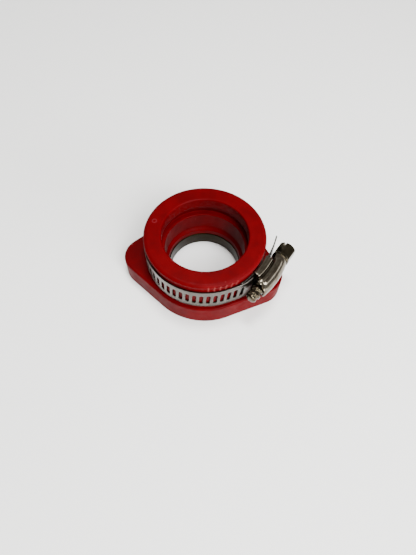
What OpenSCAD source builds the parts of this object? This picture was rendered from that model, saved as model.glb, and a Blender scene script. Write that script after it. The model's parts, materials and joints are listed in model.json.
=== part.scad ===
// Two-ear rubber pipe coupling with a bonded metal flange plate and a worm-drive clamp.
// Origin: on the duct axis, in the mating face of the flange. +Z runs up to the collar's
// mouth and X runs along the line of the two ears. Millimetres.

/* [Collar] */
// Outside radius of the collar's lip
collar_r = 28.8; // [28.6:0.1:29.2]
// Height from the mating face to the collar's mouth
collar_h = 31.8; // [31:0.1:34]
// Radius of the groove that the clamp sits in
groove_r = 28; // [27.4:0.1:28.1]
// Height of the lip's underside
lip_z = 29.6; // [29:0.1:29.8]
// Rounding of the lip's outer top corner
lip_round = 1.6; // [1:0.1:1.6]
// Radius of the socket at the mouth, which grips the pipe
socket_r = 20.5; // [19.5:0.1:21]
// Radius of the relief below the socket
relief_r = 22.2; // [21.5:0.1:23]
// Height of the ledge that stops the pipe
stop_z = 21.3; // [19:0.1:23]
// Radius of the throat below the stop
throat_r = 19.5; // [18.5:0.1:20]

/* [Flange] */
// Thickness of the rubber flange
flange_t = 12.4; // [11:0.1:12.5]
// Radius of the flange's round middle
flange_r = 30.3; // [29.5:0.1:32]
// Radius of each ear's round end
ear_r = 10.9; // [9:0.1:13]
// Distance between the two bolt holes
bolt_spacing = 58; // [54:0.5:64]
// Offset of the bolt line from the duct axis, along Y
bolt_line_y = -4.6; // [-6:0.1:0]
// Thickness of the bonded metal plate
plate_t = 7.3; // [6:0.1:8]
// Rubber left round the metal plate's edge
plate_inset = 2; // [1.5:0.1:3]
// Radius of the duct through the metal plate
duct_r = 17.7; // [16:0.1:17.8]
// Radius of each tapped hole, at its thread's crests
tap_r = 3.4; // [2.5:0.1:4.2]
// Run-out left in the rubber above each tapped hole
tap_runout = 2.2; // [1:0.1:3.5]

/* [Clamp band] */
// Direction of the clamp's screw housing round the collar, in degrees from +X
clamp_az = -25; // [-60:1:60]
// Width of the clamp band
band_w = 12.7; // [12:0.1:13]
// Thickness of the clamp band
band_t = 0.65; // [0.5:0.05:0.7]
// Height of the band's middle
band_z = 20.05; // [19.8:0.05:20.4]
// Gap between the groove and the band
band_gap = 0.3; // [0.25:0.05:0.4]
// Distance from slot to slot along the band
slot_pitch = 3.175; // [2.8:0.025:3.4]
// Length of each slot across the band
slot_l = 7; // [5:0.1:8]
// Width of each slot along the band
slot_w = 1.8; // [1.2:0.05:1.9]
// Lean of the slots from straight across
slot_lean = 3; // [0:1:12]
// Angle at which the band leaves the collar towards the screw
lift_angle = 34; // [33:1:38]
// Bend radius of the band where it enters the housing
entry_r = 16; // [14:1:18]
// Bend radius of the band's free tail
tail_r = 60; // [56:1:80]
// Length of the tail, measured along its bend
tail_l = 22.2; // [16:0.1:24]

/* [Clamp screw and housing] */
// Distance of the screw's axis from the duct axis
screw_u = 33.3; // [33.3:0.1:33.6]
// Radius of the screw's thread crests
thread_r = 3.1; // [2.8:0.05:3.1]
// Radius of the screw's core
core_r = 2.45; // [2:0.05:2.5]
// Width across the flats of the hexagon head
hex_af = 7.9; // [7:0.1:8]
// Length of the hexagon head
hex_l = 6.8; // [5:0.1:7.5]
// Radius of the collar under the head
flange_disc_r = 4.3; // [4:0.1:4.6]
// Thickness of the housing's sheet
sheet_t = 0.8; // [0.6:0.05:0.8]
// Inside radius of the housing's arch over the screw
arch_r = 3.6; // [3.3:0.05:3.8]
// Distance of the arch's middle outwards from the screw's axis
arch_shift = 0.9; // [0.8:0.1:1.2]
// Radius of the housing's own bend, which follows the collar
bend_r = 41; // [38:1:60]

/* [Hidden] */
$fn = 96;
over = 1;
duct_edge = 0.4;
throat_step_z = 11.6;
throat_step_h = 1.55;
relief_h = 4.5;
lip_under = 0.4;
mouth_chamfer = 0.6;
neck_fillet = 0.8;
round_steps = 4;
arc_steps = 24;

// Clamp band layers, as radii or as distances from the duct axis at the housing
band_in = groove_r + band_gap;
band_out = band_in + band_t;
layer_gap = 0.3;
layer_u = band_out + layer_gap;
slot_depth = 4 * band_t;
band_end_deg = 12.5;
saddle_front_deg = 20;
saddle_gap_deg = 0.2;
band_stop_t = -4;
loop_steps = 96;
entry_steps = 12;
tail_start = 2.9;
tail_bend = 3.5;
tail_side_gap = 0.15;

// Where the band's line runs from the collar to the housing
lift_u = band_in * cos(lift_angle);
lift_t = -band_in * sin(lift_angle);
lift_len = (layer_u - lift_u - entry_r * (1 - cos(lift_angle))) / sin(lift_angle);
entry_t = lift_t + lift_len * cos(lift_angle) + entry_r * sin(lift_angle);
entry_end = asin((band_stop_t - entry_t) / entry_r);

// Housing, along the screw (t) and outwards from the duct axis (u)
arch_u = screw_u + arch_shift;
base_u0 = band_out - 0.05;
base_u1 = 32.2;
base_t0 = -2;
base_t1 = 9.3;
arch_t0 = -5.5;
arch_t1 = 15;
bend_t = 4.5;
bead_r = 0.55;
bead_t0 = -2.6;
bead_t1 = 13;
bead_angles = [69, 104];
front_slant = 2.6;
window_half = band_w / 2;
back_hole_r = 2.75;
neck_r = 2.7;
head_gap = 0.3;
disc_t = 1.6;
tip_t = -11.5;
ridge_pitch = slot_pitch;
ridge_root = 1.9;
ridge_crest = 0.8;
driver_slot_w = 1.2;
driver_slot_d = 2;

// ---- shapes used more than once ----

// Angle from the line of centres at which a shared tangent touches two circles
function tangent_lean(ra, rb, d) = acos((ra - rb) / d);

// Points along an arc
function arc_points(r, cx, cy, a0, a1) =
    [for (i = [0 : arc_steps]) let (a = a0 + (a1 - a0) * i / arc_steps)
        [cx + r * cos(a), cy + r * sin(a)]];

// Flange outline, drawn in by the amount given: the middle disc and both ears, joined by tangents
module flange_outline(inset) {
    ex = bolt_spacing / 2;
    big = flange_r - inset;
    small = ear_r - inset;
    lean = tangent_lean(big, small, norm([ex, bolt_line_y]));
    right = atan2(bolt_line_y, ex);
    left = 180 - right;
    polygon(concat(
        arc_points(small, ex, bolt_line_y, right - lean, right + lean),
        arc_points(big, 0, 0, right + lean, left - lean),
        arc_points(small, -ex, bolt_line_y, left - lean, left + lean),
        arc_points(big, 0, 0, left + lean, 360 + right - lean)));
}

// Places a shape drawn with X outwards, Y along the screw and Z up from the band's middle
module at_clamp() {
    rotate([0, 0, clamp_az]) translate([0, 0, band_z]) children();
}

// Upright strip between two radii, from one angle to another (less than 180 degrees apart)
module strip_arc(r, a0, a1, width) {
    span = a1 - a0;
    reach = 2 * (r + band_t);
    linear_extrude(width, center = true)
        intersection() {
            difference() {
                circle(r = r + band_t, $fn = 180);
                circle(r = r, $fn = 180);
            }
            rotate(a0)
                polygon([[0, 0], [reach, 0], [reach * cos(span / 2), reach * sin(span / 2)],
                         [reach * cos(span), reach * sin(span)]]);
        }
}

// Points along one face of the band, from its fixed end round the collar to the housing
function band_face(off) = concat(
    [for (i = [0 : loop_steps])
        let (a = band_end_deg + i * (360 - lift_angle - band_end_deg) / loop_steps)
        (band_in + off) * [cos(a), sin(a)]],
    [for (i = [0 : entry_steps]) let (a = -lift_angle + i * (entry_end + lift_angle) / entry_steps)
        [layer_u - entry_r + (entry_r + off) * cos(a), entry_t + (entry_r + off) * sin(a)]]);

// The same list, last point first
function backwards(list) = [for (i = [len(list) - 1 : -1 : 0]) list[i]];

// One slot, standing through the band at radius r and angle a
module slot(r, a) {
    rotate([0, 0, a]) translate([r + band_t / 2, 0, 0])
        rotate([slot_lean, 0, 0])
            cube([slot_depth, slot_w, slot_l], center = true);
}

// Flat bar along the screw's direction, from t0 to t1, u0 to u1 and half height half_h
module bar(u0, u1, t0, t1, half_h) {
    translate([u0, t0, -half_h]) cube([u1 - u0, t1 - t0, 2 * half_h]);
}

// Round bar along the screw's direction
module rod(r, t0, t1, at_u) {
    translate([at_u, t0, 0]) rotate([-90, 0, 0]) cylinder(r = r, h = t1 - t0);
}

// ---- the pieces ----

// Moulded rubber: collar with a clamp groove, stepped socket and two-ear flange
module rubber_body() color("firebrick") {
    top_r = collar_r - lip_round;
    top_z = collar_h - lip_round;
    lip_arc = [for (i = [0 : round_steps]) let (a = 90 * i / round_steps)
        [top_r + lip_round * cos(a), top_z + lip_round * sin(a)]];
    section = concat(
        [[duct_r + duct_edge, plate_t],
         [duct_r + duct_edge, 0],
         [groove_r + neck_fillet, 0],
         [groove_r + neck_fillet, flange_t],
         [groove_r, flange_t + neck_fillet],
         [groove_r, lip_z],
         [collar_r - lip_under, lip_z],
         [collar_r, lip_z + lip_under]],
        lip_arc,
        [[socket_r + mouth_chamfer, collar_h],
         [socket_r, collar_h - mouth_chamfer],
         [socket_r, stop_z + relief_h],
         [relief_r, stop_z],
         [throat_r, stop_z],
         [throat_r, throat_step_z],
         [duct_r + duct_edge, throat_step_z - throat_step_h]]);
    difference() {
        union() {
            rotate_extrude() polygon(section);
            difference() {
                linear_extrude(flange_t) flange_outline(0);
                translate([0, 0, -over]) cylinder(r = groove_r, h = flange_t + 2 * over);
            }
        }
        translate([0, 0, -over]) linear_extrude(plate_t + over) flange_outline(plate_inset);
        for (side = [-1, 1])
            translate([side * bolt_spacing / 2, bolt_line_y, plate_t - over])
                cylinder(r = tap_r, h = tap_runout + over);
    }
}

// Metal plate bonded into the flange, with the duct and two tapped holes
module flange_plate() color("darkolivegreen") {
    difference() {
        linear_extrude(plate_t) flange_outline(plate_inset);
        translate([0, 0, -over]) cylinder(r = duct_r, h = plate_t + 2 * over);
        for (side = [-1, 1])
            translate([side * bolt_spacing / 2, bolt_line_y, -over])
                cylinder(r = tap_r, h = plate_t + 2 * over);
    }
}

// Perforated band: from its fixed end at the housing, round the collar and into the housing
module clamp_band() color("silver") at_clamp() {
    loop_end = 360 - lift_angle;
    step = slot_pitch / (band_out * PI / 180);
    slots = floor((loop_end - band_end_deg) / step) - 2;
    difference() {
        linear_extrude(band_w, center = true)
            polygon(concat(band_face(band_t), backwards(band_face(0))));
        for (i = [0 : slots])
            slot(band_in, loop_end - i * step);
        translate([lift_u, lift_t, 0]) rotate([0, 0, -lift_angle])
            translate([band_t / 2, slot_pitch, 0]) rotate([slot_lean, 0, 0])
                cube([slot_depth, slot_w, slot_l], center = true);
    }
}

// Free end of the band: it runs under the screw and comes out past the head
module band_tail() color("gainsboro") at_clamp() {
    span = tail_l / tail_r * 180 / PI;
    step = slot_pitch / tail_r * 180 / PI;
    width = band_w - 2 * tail_side_gap;
    lead = (tail_bend - tail_start) / tail_r * 180 / PI;
    translate([layer_u - tail_r, tail_bend, 0])
        difference() {
            strip_arc(tail_r, -lead, span - lead, width);
            for (i = [0 : floor(span / step) - 2])
                slot(tail_r, -lead + (i + 0.6) * step);
        }
}

// Bridge plate between the collar and the moving band, with a tongue to the front
module clamp_saddle() color("lightgray") at_clamp() {
    strip_arc(band_in, -saddle_front_deg, band_end_deg - saddle_gap_deg, band_w);
}

// Sweeps a section, drawn as outwards and up, round the housing's own bend between t0 and t1
module bent(t0, t1) {
    reach = 2 * arch_r + over;
    intersection() {
        translate([arch_u - bend_r, bend_t, 0])
            rotate_extrude($fn = 180) translate([bend_r - arch_u, 0]) children();
        translate([base_u0 - reach, t0, -2 * window_half])
            cube([arch_u - base_u0 + 2 * reach, t1 - t0, 4 * window_half]);
    }
}

// Section of the arch over the screw, with legs down to the base
module arch_section(r, foot) {
    translate([arch_u, 0]) circle(r = r);
    translate([foot, -r]) square([arch_u - foot, 2 * r]);
}

// Pressed housing: a wide base that holds the band's edges and a beaded arch over the screw
module clamp_housing() color("darkgray") at_clamp() {
    outer_r = arch_r + sheet_t;
    roof_u = base_u1 - sheet_t;
    half = window_half + sheet_t;
    difference() {
        union() {
            bent(base_t0, base_t1)
                translate([base_u0, -half]) square([base_u1 - base_u0, 2 * half]);
            bent(arch_t0, arch_t1) arch_section(outer_r, roof_u);
            bent(bead_t0, bead_t1)
                for (a = bead_angles, side = [-1, 1])
                    translate([arch_u + outer_r * cos(a), side * outer_r * sin(a)])
                        circle(r = bead_r, $fn = 24);
        }
        bent(base_t0 - over, base_t1 + over)
            translate([base_u0 - over, -window_half])
                square([roof_u - base_u0 + over, 2 * window_half]);
        bent(arch_t0 - over, arch_t1 - sheet_t) arch_section(arch_r, base_u0 - over);
        bent(arch_t1 - 2 * sheet_t, arch_t1 + over)
            translate([base_u0 - over, -2 * arch_r])
                square([roof_u - base_u0 + over, 4 * arch_r]);
        rod(back_hole_r, arch_t1 - 2 * sheet_t, arch_t1 + over, screw_u);
        translate([roof_u - over, arch_t0 + front_slant, 0])
            rotate([0, 0, -atan(front_slant / (arch_u + arch_r - base_u1))])
                translate([-over, -arch_r * 3, -arch_r * 2])
                    cube([arch_r * 4, arch_r * 3, arch_r * 4]);
    }
}

// Worm screw: thread, neck, collar and slotted hexagon head
module worm_screw() color("dimgray") at_clamp() {
    disc_t0 = arch_t1 + head_gap;
    hex_t0 = disc_t0 + disc_t;
    thread_t1 = arch_t1 - 2 * sheet_t;
    ridges = floor((thread_t1 - tip_t) / ridge_pitch) - 1;
    difference() {
        union() {
            rod(core_r, tip_t, thread_t1, screw_u);
            rod(neck_r, thread_t1, disc_t0, screw_u);
            rod(flange_disc_r, disc_t0, hex_t0, screw_u);
            translate([screw_u, hex_t0, 0]) rotate([-90, 0, 0])
                rotate([0, 0, 30]) cylinder(d = hex_af / cos(30), h = hex_l, $fn = 6);
            for (i = [0 : ridges])
                translate([screw_u, tip_t + (i + 0.5) * ridge_pitch, 0]) rotate([-90, 0, 0])
                    rotate_extrude()
                        polygon([[0, -ridge_root / 2], [core_r, -ridge_root / 2],
                                 [thread_r, -ridge_crest / 2], [thread_r, ridge_crest / 2],
                                 [core_r, ridge_root / 2], [0, ridge_root / 2]]);
        }
        translate([screw_u, hex_t0 + hex_l, 0])
            cube([3 * hex_af, 2 * driver_slot_d, driver_slot_w], center = true);
    }
}

rubber_body();
flange_plate();
clamp_band();
band_tail();
clamp_saddle();
clamp_housing();
worm_screw();
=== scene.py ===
"""Looks of a two-ear rubber pipe coupling with a perforated worm-drive band clamp.

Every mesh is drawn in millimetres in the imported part's own frame and turned to metres once, when
it becomes an object. Places come from the frame's boxes, joints and mounts; the sizes that only
the eye needs, such as fillets and bead heights, are fields of the classes below.
"""

import json
import logging
import math
from dataclasses import dataclass, field
from enum import Enum
from typing import Callable, Iterable, Sequence

import bmesh
import bpy
import numpy as np
from mathutils import Matrix, Vector


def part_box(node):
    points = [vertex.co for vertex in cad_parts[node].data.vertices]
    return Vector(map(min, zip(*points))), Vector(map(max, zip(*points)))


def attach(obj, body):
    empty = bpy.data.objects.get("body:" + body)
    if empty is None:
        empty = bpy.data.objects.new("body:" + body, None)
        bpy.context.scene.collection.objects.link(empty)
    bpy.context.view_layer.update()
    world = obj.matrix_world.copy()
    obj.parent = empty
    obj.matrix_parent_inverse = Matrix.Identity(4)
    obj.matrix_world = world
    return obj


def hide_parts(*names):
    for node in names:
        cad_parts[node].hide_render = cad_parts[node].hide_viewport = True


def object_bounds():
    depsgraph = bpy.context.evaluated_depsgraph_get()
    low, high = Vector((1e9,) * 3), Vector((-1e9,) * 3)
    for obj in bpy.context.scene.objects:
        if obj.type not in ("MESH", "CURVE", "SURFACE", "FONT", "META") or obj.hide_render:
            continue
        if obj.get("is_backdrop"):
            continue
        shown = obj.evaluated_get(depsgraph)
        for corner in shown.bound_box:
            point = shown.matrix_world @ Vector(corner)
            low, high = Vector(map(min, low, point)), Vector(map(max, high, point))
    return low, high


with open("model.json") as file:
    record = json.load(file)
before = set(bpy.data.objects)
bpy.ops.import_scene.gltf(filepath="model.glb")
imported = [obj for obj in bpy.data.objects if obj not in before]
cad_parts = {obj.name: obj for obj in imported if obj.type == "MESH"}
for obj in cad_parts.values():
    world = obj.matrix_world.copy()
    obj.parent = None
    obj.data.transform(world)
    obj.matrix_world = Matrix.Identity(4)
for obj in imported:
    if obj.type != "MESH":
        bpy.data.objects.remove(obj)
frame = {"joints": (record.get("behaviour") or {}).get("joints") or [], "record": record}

MM = 0.001
LOG = logging.getLogger("coupling")
Point = tuple[float, float, float]
Plane = tuple[float, float]


# ---------------------------------------------------------------------------------------------
# Meshes
# ---------------------------------------------------------------------------------------------

class MeshDraft:
    """Vertices in millimetres, and faces, gathered before they become one object."""

    def __init__(self) -> None:
        """Starts an empty draft."""
        self.points: list[Sequence[float]] = []
        self.faces: list[Sequence[int]] = []

    def ring(self, points: Iterable[Sequence[float]]) -> list[int]:
        """Adds a row of vertices.

        Args:
            points: the row's vertices, in order.

        Returns:
            The index of each new vertex.
        """
        start = len(self.points)
        self.points.extend(points)
        return list(range(start, len(self.points)))

    def bridge(self, low: Sequence[int], high: Sequence[int], closed: bool = True) -> None:
        """Joins two rows of equal length with quads.

        Args:
            low: vertex indices of the first row.
            high: vertex indices of the second row.
            closed: whether the last vertex joins the first again.
        """
        count = len(low)
        for i in range(count if closed else count - 1):
            j = (i + 1) % count
            self.faces.append((low[i], low[j], high[j], high[i]))

    def cap(self, row: Sequence[int]) -> None:
        """Closes a row with one flat face."""
        self.faces.append(tuple(row))

    def around(self, radii: Iterable[float], angles: Iterable[float], z: float,
               centre: Plane = (0.0, 0.0)) -> list[int]:
        """Adds a row round an upright axis.

        Args:
            radii: the distance from the axis in each direction.
            angles: the directions, in radians.
            z: the row's height.
            centre: where the axis stands.

        Returns:
            The index of each new vertex.
        """
        x, y = centre
        return self.ring((x + r * math.cos(a), y + r * math.sin(a), z)
                         for r, a in zip(radii, angles))

    def loft(self, rings: Sequence[Sequence[int]], tube: bool = False) -> None:
        """Joins rows in turn into a closed shape.

        Args:
            rings: the rows, in order.
            tube: whether the last row joins the first; otherwise both ends are capped.
        """
        follow = list(rings[1:]) + ([rings[0]] if tube else [])
        for low, high in zip(rings, follow):
            self.bridge(low, high)
        if not tube:
            self.cap(rings[0])
            self.cap(rings[-1])

    def build(self, name: str) -> bpy.types.Object:
        """Makes the object, in metres, with its faces turned outwards.

        Args:
            name: the piece's name.

        Returns:
            The new object, linked into the scene.
        """
        mesh = bpy.data.meshes.new(name)
        mesh.from_pydata([tuple(c * MM for c in p) for p in self.points], [], self.faces)
        work = bmesh.new()
        work.from_mesh(mesh)
        bmesh.ops.remove_doubles(work, verts=work.verts, dist=1e-7)
        bmesh.ops.recalc_face_normals(work, faces=work.faces)
        work.to_mesh(mesh)
        work.free()
        obj = bpy.data.objects.new(name, mesh)
        bpy.context.scene.collection.objects.link(obj)
        return obj


def settle(obj: bpy.types.Object, smooth: bool = True) -> bpy.types.Object:
    """Applies an object's modifiers to its mesh and shades it smooth.

    Args:
        obj: the object, with any modifiers still live.
        smooth: whether faces are shaded smooth.

    Returns:
        The same object, with no modifiers.
    """
    bpy.context.view_layer.update()
    graph = bpy.context.evaluated_depsgraph_get()
    mesh = bpy.data.meshes.new_from_object(obj.evaluated_get(graph))
    obj.modifiers.clear()
    obj.data = mesh
    mesh.name = obj.name
    mesh.polygons.foreach_set("use_smooth", [smooth] * len(mesh.polygons))
    return obj


def even_shading(obj: bpy.types.Object) -> bpy.types.Object:
    """Weighs normals by face area, so that flat faces stay flat beside small fillets."""
    settle(obj)
    obj.modifiers.new("normals", "WEIGHTED_NORMAL").keep_sharp = True
    return settle(obj)


def round_edges(obj: bpy.types.Object, width: float, steps: int = 2,
                angle: float = 40.0) -> bpy.types.Object:
    """Rounds every edge sharper than an angle.

    Args:
        obj: the object.
        width: the rounding's width in millimetres.
        steps: the rounding's segments.
        angle: the sharpest edge left alone, in degrees.

    Returns:
        The same object.
    """
    bevel = obj.modifiers.new("edges", "BEVEL")
    bevel.width = width * MM
    bevel.segments = steps
    bevel.limit_method = "ANGLE"
    bevel.angle_limit = math.radians(angle)
    bevel.use_clamp_overlap = True
    return even_shading(obj)


def cut(obj: bpy.types.Object, tool: bpy.types.Object) -> bpy.types.Object:
    """Takes a tool's shape out of an object and removes the tool.

    Args:
        obj: the object to cut.
        tool: a closed object, which is used up.

    Returns:
        The cut object.
    """
    boolean = obj.modifiers.new("cut", "BOOLEAN")
    boolean.operation = "DIFFERENCE"
    boolean.solver = "EXACT"
    boolean.object = tool
    settle(obj, smooth=False)
    bpy.data.objects.remove(tool)
    return obj


def arc(cx: float, cy: float, r: float, a0: float, a1: float, steps: int) -> list[Plane]:
    """Points along an arc.

    Args:
        cx: the centre's first coordinate.
        cy: the centre's second coordinate.
        r: the radius.
        a0: the first angle, in degrees.
        a1: the last angle, in degrees.
        steps: how many segments.

    Returns:
        steps + 1 points.
    """
    turns = [math.radians(a0 + (a1 - a0) * i / steps) for i in range(steps + 1)]
    return [(cx + r * math.cos(a), cy + r * math.sin(a)) for a in turns]


def fade(x: float, low: float, high: float) -> float:
    """A smooth step from 0 at low to 1 at high."""
    f = min(1.0, max(0.0, (x - low) / (high - low)))
    return f * f * (3 - 2 * f)


# ---------------------------------------------------------------------------------------------
# Materials
# ---------------------------------------------------------------------------------------------

def linear(code: str) -> tuple[float, float, float, float]:
    """Turns an sRGB hex colour to the linear values that the shader takes.

    Args:
        code: six hex digits, such as "7a0508".

    Returns:
        Red, green, blue and alpha.
    """
    parts = [int(code[i:i + 2], 16) / 255 for i in (0, 2, 4)]
    bent = [c / 12.92 if c <= 0.04045 else ((c + 0.055) / 1.055) ** 2.4 for c in parts]
    return (bent[0], bent[1], bent[2], 1.0)


def per_mm(size: float) -> float:
    """The texture scale, per metre, at which a pattern repeats about once every size millimetres."""
    return 1.0 / (size * MM)


def add(tree: bpy.types.NodeTree, kind: str, settings: dict | None = None,
        links: dict | None = None) -> bpy.types.Node:
    """Adds a shader node.

    Args:
        tree: the node tree.
        kind: the node's Blender type.
        settings: attribute names, or input names, and their values.
        links: input names, and the output sockets that feed them.

    Returns:
        The new node.
    """
    node = tree.nodes.new(kind)
    for key, value in (settings or {}).items():
        if isinstance(key, str) and hasattr(node, key):
            setattr(node, key, value)
        else:
            node.inputs[key].default_value = value
    for key, output in (links or {}).items():
        tree.links.new(output, node.inputs[key])
    return node


def ramp(tree: bpy.types.NodeTree, factor: bpy.types.NodeSocket,
         stops: Sequence[tuple[float, tuple[float, float, float, float]]]) -> bpy.types.NodeSocket:
    """Maps a factor to colours.

    Args:
        tree: the node tree.
        factor: the socket that drives the ramp.
        stops: positions and linear colours, lowest first.

    Returns:
        The ramp's colour socket.
    """
    node = add(tree, "ShaderNodeValToRGB", links={0: factor})
    line = node.color_ramp
    line.elements[0].position, line.elements[0].color = stops[0]
    line.elements[1].position, line.elements[1].color = stops[-1]
    for position, colour in stops[1:-1]:
        line.elements.new(position).color = colour
    return node.outputs["Color"]


@dataclass(frozen=True)
class Finish:
    """What every finish shares: a name and the record's slot it belongs to."""

    name: str
    slot: str

    def start(self) -> tuple[bpy.types.Material, bpy.types.NodeTree, bpy.types.Node]:
        """Makes an empty material with one Principled shader.

        Returns:
            The material, its node tree and the shader.
        """
        material = bpy.data.materials.new(self.name)
        material.use_nodes = True
        tree = material.node_tree
        return material, tree, tree.nodes["Principled BSDF"]

    def make(self) -> bpy.types.Material:
        """Makes the material.

        Returns:
            The finished material.
        """
        raise NotImplementedError


@dataclass(frozen=True)
class MouldedRubber(Finish):
    """Red rubber, compression moulded: deep even colour, satin skin with a fine grain."""

    colour: str = "530005"
    dark: str = "480004"
    # Pale colour for the dust flecks, also used for the painted highlights on the clamp ridges
    dust_and_highlight: str = "7c3a36"
    roughness: float = 0.5
    grain_mm: float = 0.35
    cloud_mm: float = 9.0
    fleck_mm: float = 2.6
    print_pitch: float = 5.4
    print_at: float = -71.3
    # Directions in degrees and heights in millimetres where the clamp ridges get painted highlights
    rib_highlight_span: tuple[float, float] = (-79.0, -48.0)
    rib_highlight_z: tuple[float, float] = (26.4, 30.6)

    def window(self, tree: bpy.types.NodeTree, source: bpy.types.NodeSocket,
               low: float, high: float, soft: float) -> list[bpy.types.NodeSocket]:
        """Fades a value in above one limit and out above another.

        Args:
            tree: the node tree.
            source: the value.
            low: where it has faded in.
            high: where it begins to fade out.
            soft: how far each fade runs.

        Returns:
            The two fades.
        """
        rise = add(tree, "ShaderNodeMapRange", {"From Min": low - soft, "From Max": low},
                   {"Value": source})
        fall = add(tree, "ShaderNodeMapRange", {"From Min": high, "From Max": high + soft,
                                                "To Min": 1.0, "To Max": 0.0},
                   {"Value": source})
        return [rise.outputs["Result"], fall.outputs["Result"]]

    def rib_highlights(self, tree: bpy.types.NodeTree,
               place: bpy.types.NodeSocket) -> bpy.types.NodeSocket:
        """Paints highlights on the clamp ridges: short pale upright lines above the band, on the
        front right only, where the light catches them.

        Args:
            tree: the node tree.
            place: the object coordinates.

        Returns:
            How much of the painted highlight shows.
        """
        parts = add(tree, "ShaderNodeSeparateXYZ", links={0: place})
        angle = add(tree, "ShaderNodeMath", {"operation": "ARCTAN2"},
                    {0: parts.outputs["Y"], 1: parts.outputs["X"]}).outputs[0]
        turns = add(tree, "ShaderNodeMath", {
            "operation": "MULTIPLY_ADD", 1: 360 / self.print_pitch,
            2: -2 * math.pi * self.print_at / self.print_pitch}, {0: angle}).outputs[0]
        wave = add(tree, "ShaderNodeMath", {"operation": "COSINE"}, {0: turns}).outputs[0]
        line = add(tree, "ShaderNodeMapRange", {"From Min": 0.45, "From Max": 0.95,
                                                "To Max": 0.55}, {"Value": wave})
        span = [math.radians(a) for a in self.rib_highlight_span]
        heights = [z * MM for z in self.rib_highlight_z]
        total = line.outputs["Result"]
        for part in (self.window(tree, angle, *span, math.radians(3))
                     + self.window(tree, parts.outputs["Z"], *heights, 0.5 * MM)):
            total = add(tree, "ShaderNodeMath", {"operation": "MULTIPLY"},
                        {0: total, 1: part}).outputs[0]
        return total

    def make(self) -> bpy.types.Material:
        """Makes the rubber: clouded colour, worn gloss, sparse pale dust flecks, painted highlights
        on the clamp ridges and a fine grain.
        """
        material, tree, shader = self.start()
        place = add(tree, "ShaderNodeTexCoord").outputs["Object"]
        # Colour clouds show how the compound flowed in the mould
        clouds = add(tree, "ShaderNodeTexNoise",
                     {"Scale": per_mm(self.cloud_mm), "Detail": 3.0, "Roughness": 0.6},
                     {"Vector": place})
        base = ramp(tree, clouds.outputs["Fac"],
                    [(0.35, linear(self.dark)), (0.62, linear(self.colour))])
        # Dust flecks cling to the skin: small, pale and far apart
        flecks = add(tree, "ShaderNodeTexVoronoi", {"Scale": per_mm(self.fleck_mm)},
                     {"Vector": place})
        rare = add(tree, "ShaderNodeTexNoise", {"Scale": per_mm(4.0), "Detail": 1.0},
                   {"Vector": place})
        near = add(tree, "ShaderNodeMapRange",
                   {"From Min": 0.05, "From Max": 0.085, "To Min": 1.0, "To Max": 0.0},
                   {"Value": flecks.outputs["Distance"]})
        chosen = add(tree, "ShaderNodeMapRange",
                     {"From Min": 0.63, "From Max": 0.68, "To Min": 0.0, "To Max": 0.75},
                     {"Value": rare.outputs["Fac"]})
        dust_and_highlight_mask = add(tree, "ShaderNodeMath", {"operation": "MULTIPLY"},
                   {0: near.outputs["Result"], 1: chosen.outputs["Result"]})
        # The painted highlights on the clamp ridges take the same pale colour as the dust
        dust_and_highlight_mask = add(tree, "ShaderNodeMath", {"operation": "MAXIMUM"},
                   {0: dust_and_highlight_mask.outputs[0], 1: self.rib_highlights(tree, place)})
        colour = add(tree, "ShaderNodeMix", {"data_type": "RGBA"},
                     {0: dust_and_highlight_mask.outputs[0], 6: base})
        colour.inputs[7].default_value = linear(self.dust_and_highlight)
        # Handling wears the skin unevenly, so gloss wanders with the clouds
        worn = add(tree, "ShaderNodeTexNoise",
                   {"Scale": per_mm(5.0), "Detail": 5.0, "Roughness": 0.65}, {"Vector": place})
        gloss = add(tree, "ShaderNodeMapRange",
                    {"From Min": 0.3, "From Max": 0.7,
                     "To Min": self.roughness - 0.07, "To Max": self.roughness + 0.1},
                    {"Value": worn.outputs["Fac"]})
        # Grain of the mould's blasted face, drawn coarse enough to show
        grain = add(tree, "ShaderNodeTexNoise",
                    {"Scale": per_mm(self.grain_mm), "Detail": 2.0}, {"Vector": place})
        dents = add(tree, "ShaderNodeTexNoise",
                    {"Scale": per_mm(3.5), "Detail": 2.0}, {"Vector": place})
        low = add(tree, "ShaderNodeBump", {"Strength": 0.35, "Distance": 0.00012},
                  {"Height": dents.outputs["Fac"]})
        fine = add(tree, "ShaderNodeBump", {"Strength": 0.25, "Distance": 0.00003},
                   {"Height": grain.outputs["Fac"], "Normal": low.outputs["Normal"]})
        tree.links.new(colour.outputs[2], shader.inputs["Base Color"])
        tree.links.new(gloss.outputs["Result"], shader.inputs["Roughness"])
        tree.links.new(fine.outputs["Normal"], shader.inputs["Normal"])
        shader.inputs["IOR"].default_value = 1.45
        shader.inputs["Specular IOR Level"].default_value = 0.04
        return material


class Lay(Enum):
    """Which way a metal's fine lines run."""

    AROUND_Z = "around"
    ALONG_SCREW = "along"


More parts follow.
